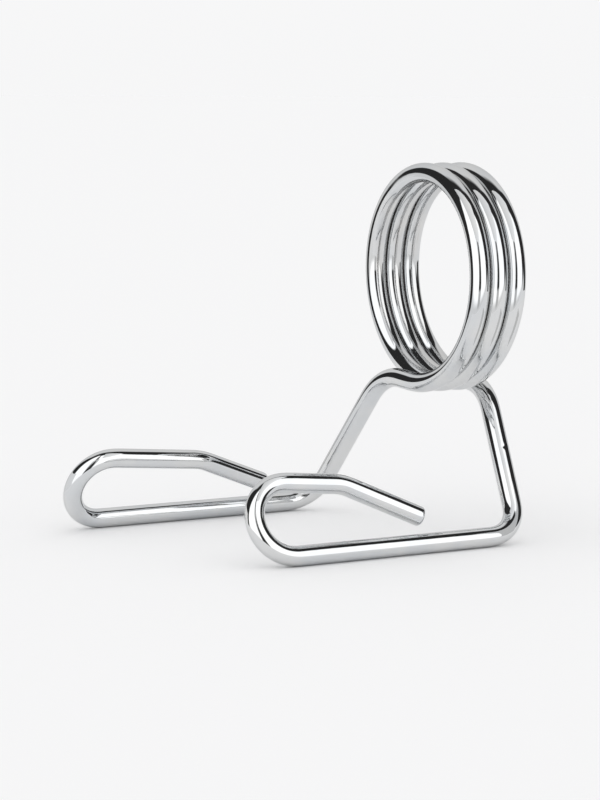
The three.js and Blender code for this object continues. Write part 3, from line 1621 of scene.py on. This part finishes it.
    def _floor(self, rail: Vector) -> None:
        """Lays the floor: the table, and the floor beyond its edges, which no metal mirrors.

        The handles swing lower as they close, so the floor follows the height of the far lower rail.

        Args:
            rail: The middle of the wire where the far handle lies on the floor.
        """
        marker = bpy.data.objects.new("far_rail_marker", None)
        bpy.context.scene.collection.objects.link(marker)
        marker.location = rail
        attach(marker, "far_handle")
        material, board = new_material("pale_floor")
        shader = board.add("ShaderNodeBsdfDiffuse")
        board.put(shader.inputs["Color"], self.floor_shade)
        output = board.add("ShaderNodeOutputMaterial")
        board.put(output.inputs["Surface"], shader.outputs["BSDF"])
        reach, front = self.floor_reach, self.table_front
        left, right = self.table_left, self.table_right
        for name, low, high, rear, near in (
            ("table", left, right, -reach, front),
            ("floor_in_front", -reach, reach, front, reach),
            ("floor_to_the_left", -reach, left, -reach, front),
            ("floor_to_the_right", right, reach, -reach, front),
        ):
            corners = ((low, near), (high, near), (high, rear), (low, rear))
            places = [self._in_the_room(*corner, self.floor_height) for corner in corners]
            floor = self._sheet(name, places, material)
            floor.visible_glossy = name == "table"
            floor.data.transform(Matrix.Translation(-UP * rail.z))
            floor.location.z = rail.z
            under_rail = floor.constraints.new("COPY_LOCATION")
            under_rail.target = marker
            under_rail.use_x = False
            under_rail.use_y = False

    def _card(self) -> None:
        """Hangs the small white card, brighter to its right, which only the chrome sees."""
        material, board = new_material("white_card")
        place = board.add("ShaderNodeTexCoord").outputs["Object"]
        rightwards = board.vector("DOT_PRODUCT", place, tuple(self._in_the_room(1.0, 0.0, 0.0)))
        shade = board.add("ShaderNodeMapRange")
        board.put(shade.inputs["Value"], rightwards)
        board.put(shade.inputs["From Min"], min(corner[0] for corner in self.card_corners))
        board.put(shade.inputs["From Max"], max(corner[0] for corner in self.card_corners))
        board.put(shade.inputs["To Min"], self.card_left_shade)
        board.put(shade.inputs["To Max"], self.card_right_shade)
        self._shine(board, shade.outputs["Result"])
        places = [self._in_the_room(*corner, self.card_height) for corner in self.card_corners]
        self._hide(self._sheet("card", places, material))

    def _stand(self, screen: Screen) -> None:
        """Stands a screen on the table, which only the chrome sees.

        Args:
            screen: The screen.
        """
        material, board = new_material(screen.name)
        self._shine(board, screen.brightness)
        low, high = self.floor_height, self.floor_height + screen.height
        corners = ((screen.rear, low), (screen.front, low), (screen.front, high), (screen.rear, high))
        places = [self._in_the_room(*place, height) for place, height in corners]
        self._hide(self._sheet(screen.name, places, material))

    @staticmethod
    def _shine(board: Board, brightness: object) -> None:
        """Makes a sheet shine from both faces.

        Args:
            board: The tree of its material.
            brightness: How brightly it shines.
        """
        light = board.add("ShaderNodeEmission")
        board.put(light.inputs["Strength"], brightness)
        output = board.add("ShaderNodeOutputMaterial")
        board.put(output.inputs["Surface"], light.outputs["Emission"])

    @staticmethod
    def _hide(sheet: bpy.types.Object) -> None:
        """Hides a sheet from all but mirrored rays.

        Args:
            sheet: The sheet.
        """
        sheet.visible_camera = False
        sheet.visible_diffuse = False
        sheet.visible_shadow = False

    @staticmethod
    def _sheet(name: str, places: list[Vector], material: bpy.types.Material) -> bpy.types.Object:
        """Makes a flat sheet that belongs to the stage.

        Args:
            name: Its name.
            places: Its corners, in order.
            material: What it is made of.

        Returns:
            The sheet.
        """
        mesh = bpy.data.meshes.new(name)
        mesh.from_pydata([tuple(place) for place in places], [], [tuple(range(len(places)))])
        mesh.materials.append(material)
        sheet = bpy.data.objects.new(name, mesh)
        bpy.context.scene.collection.objects.link(sheet)
        return sheet


# The collar


@dataclass
class Collar:
    """The whole collar, drawn as four stretches of one wire."""

    stock: WireStock = field(default_factory=WireStock)
    near_upper_rail: float = 14.0 * MM
    near_kink: float = math.radians(21.0)
    far_upper_rail: float = 24.0 * MM
    far_kink: float = math.radians(17.5)
    twist_margin: float = 0.1 * MM
    near_pin_depth: float = 0.05 * MM
    far_pin_depth: float = 0.01 * MM
    pin_length: float = 2.4 * MM
    pin_width: float = 1.4 * MM
    knocks: tuple[Dent, ...] = (
        Dent(Side.NEAR, 24.6 * MM, (-0.01, -0.87, 0.49), 0.09 * MM, 0.50 * MM, 0.85 * MM),
        Dent(Side.NEAR, 75.4 * MM, (0.0, -0.94, -0.34), 0.05 * MM, 0.35 * MM, 0.30 * MM),
        Dent(Side.NEAR, 48.7 * MM, (0.25, -0.94, 0.25), 0.025 * MM, 0.45 * MM, 0.40 * MM),
        Dent(Side.NEAR, 50.6 * MM, (0.17, -0.94, 0.31), 0.035 * MM, 0.40 * MM, 0.45 * MM),
        Dent(Side.NEAR, 52.0 * MM, (-0.10, -0.92, 0.40), 0.025 * MM, 0.40 * MM, 0.40 * MM),
        Dent(Side.FAR, 101.0 * MM, (0.0, -0.85, 0.53), 0.03 * MM, 0.60 * MM, 0.50 * MM),
        Dent(Side.FAR, 166.0 * MM, (0.07, -0.80, 0.60), 0.04 * MM, 1.40 * MM, 0.40 * MM),
        Dent(Side.FAR, 169.5 * MM, (0.07, -0.75, 0.65), 0.03 * MM, 0.90 * MM, 0.40 * MM),
    )

    def __post_init__(self) -> None:
        """Bends the wire and marks the places where it was held and knocked."""
        self.coil = Coil(self.stock)
        self.near = Handle(self.stock, Side.NEAR, self.near_upper_rail, self.near_kink)
        self.far = Handle(self.stock, Side.FAR, self.far_upper_rail, self.far_kink)
        self.wire = Wire(self.stock, self.coil, self.near, self.far)
        self.wire.dents = [*self.knocks, *self._pin_marks()]

    def _pin_marks(self) -> list[Dent]:
        """The marks that the bending pins pressed into the inside of each sharp bend.

        Returns:
            One shallow dent for each bend.
        """
        depths = {Side.NEAR: self.near_pin_depth, Side.FAR: self.far_pin_depth}
        return [
            Dent(side, bend.distance, tuple(bend.inside), depths[side], self.pin_length, self.pin_width)
            for side, bends in self.wire.bends.items()
            for bend in bends
            if bend.angle < math.pi
        ]

    def far_rail(self) -> Vector:
        """The middle of the wire where the far handle lies on the floor."""
        handle = self.wire.points[self.wire.far_seam :]
        return Vector(handle[np.argmin(handle[:, 2])])

    def build(self) -> list[bpy.types.Object]:
        """Draws, dresses and places the four stretches.

        Returns:
            The four pieces.
        """
        effects = SurfaceEffects()
        coil_chrome = BrightChrome("coil_chrome").build(effects)
        handle_chrome = BrightChrome(
            "handle_chrome", sleeve_rub=0.0, turn_rub=0.0, groove_painted_shade_amount=0.0
        ).build(effects)
        sheared = ShearedSteel("sheared_end").build(effects)
        wire = self.wire
        seam, cut = WireEnd.SEAM, WireEnd.CUT
        end = len(wire.points) - 1
        near_handle = Stretch("near_handle_wire", wire, 0, wire.near_seam, cut, seam).build()
        coil_rear = Stretch("coil_rear_half", wire, wire.near_seam, wire.middle, seam, seam).build()
        coil_front = Stretch("coil_front_half", wire, wire.middle, wire.far_seam, seam, seam).build()
        far_handle = Stretch("far_handle_wire", wire, wire.far_seam, end, seam, cut).build()
        for piece in (coil_rear, coil_front):
            piece.data.materials.append(coil_chrome)
        for piece in (near_handle, far_handle):
            piece.data.materials.append(handle_chrome)
            piece.data.materials.append(sheared)

        for piece, body, towards in (
            (coil_rear, "near_handle", 1.0),
            (coil_front, "far_handle", -1.0),
        ):
            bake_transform(piece)
            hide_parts("spring_coil")
        for piece, body in ((near_handle, "near_handle"), (far_handle, "far_handle")):
            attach(piece, body)
            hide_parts(body)
        return [near_handle, coil_rear, coil_front, far_handle]


def main() -> None:
    """Builds the stage and the collar and reports each piece."""
    logging.basicConfig(level=logging.INFO, format="%(message)s")
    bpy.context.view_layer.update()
    bpy.context.scene.view_settings.view_transform = "Standard"
    collar = Collar()
    PhotoCamera().build()
    LightTent().build(collar.far_rail())
    for piece in collar.build():
        LOG.info("%s is in place", piece.name)


if __name__ == "__main__":
    main()
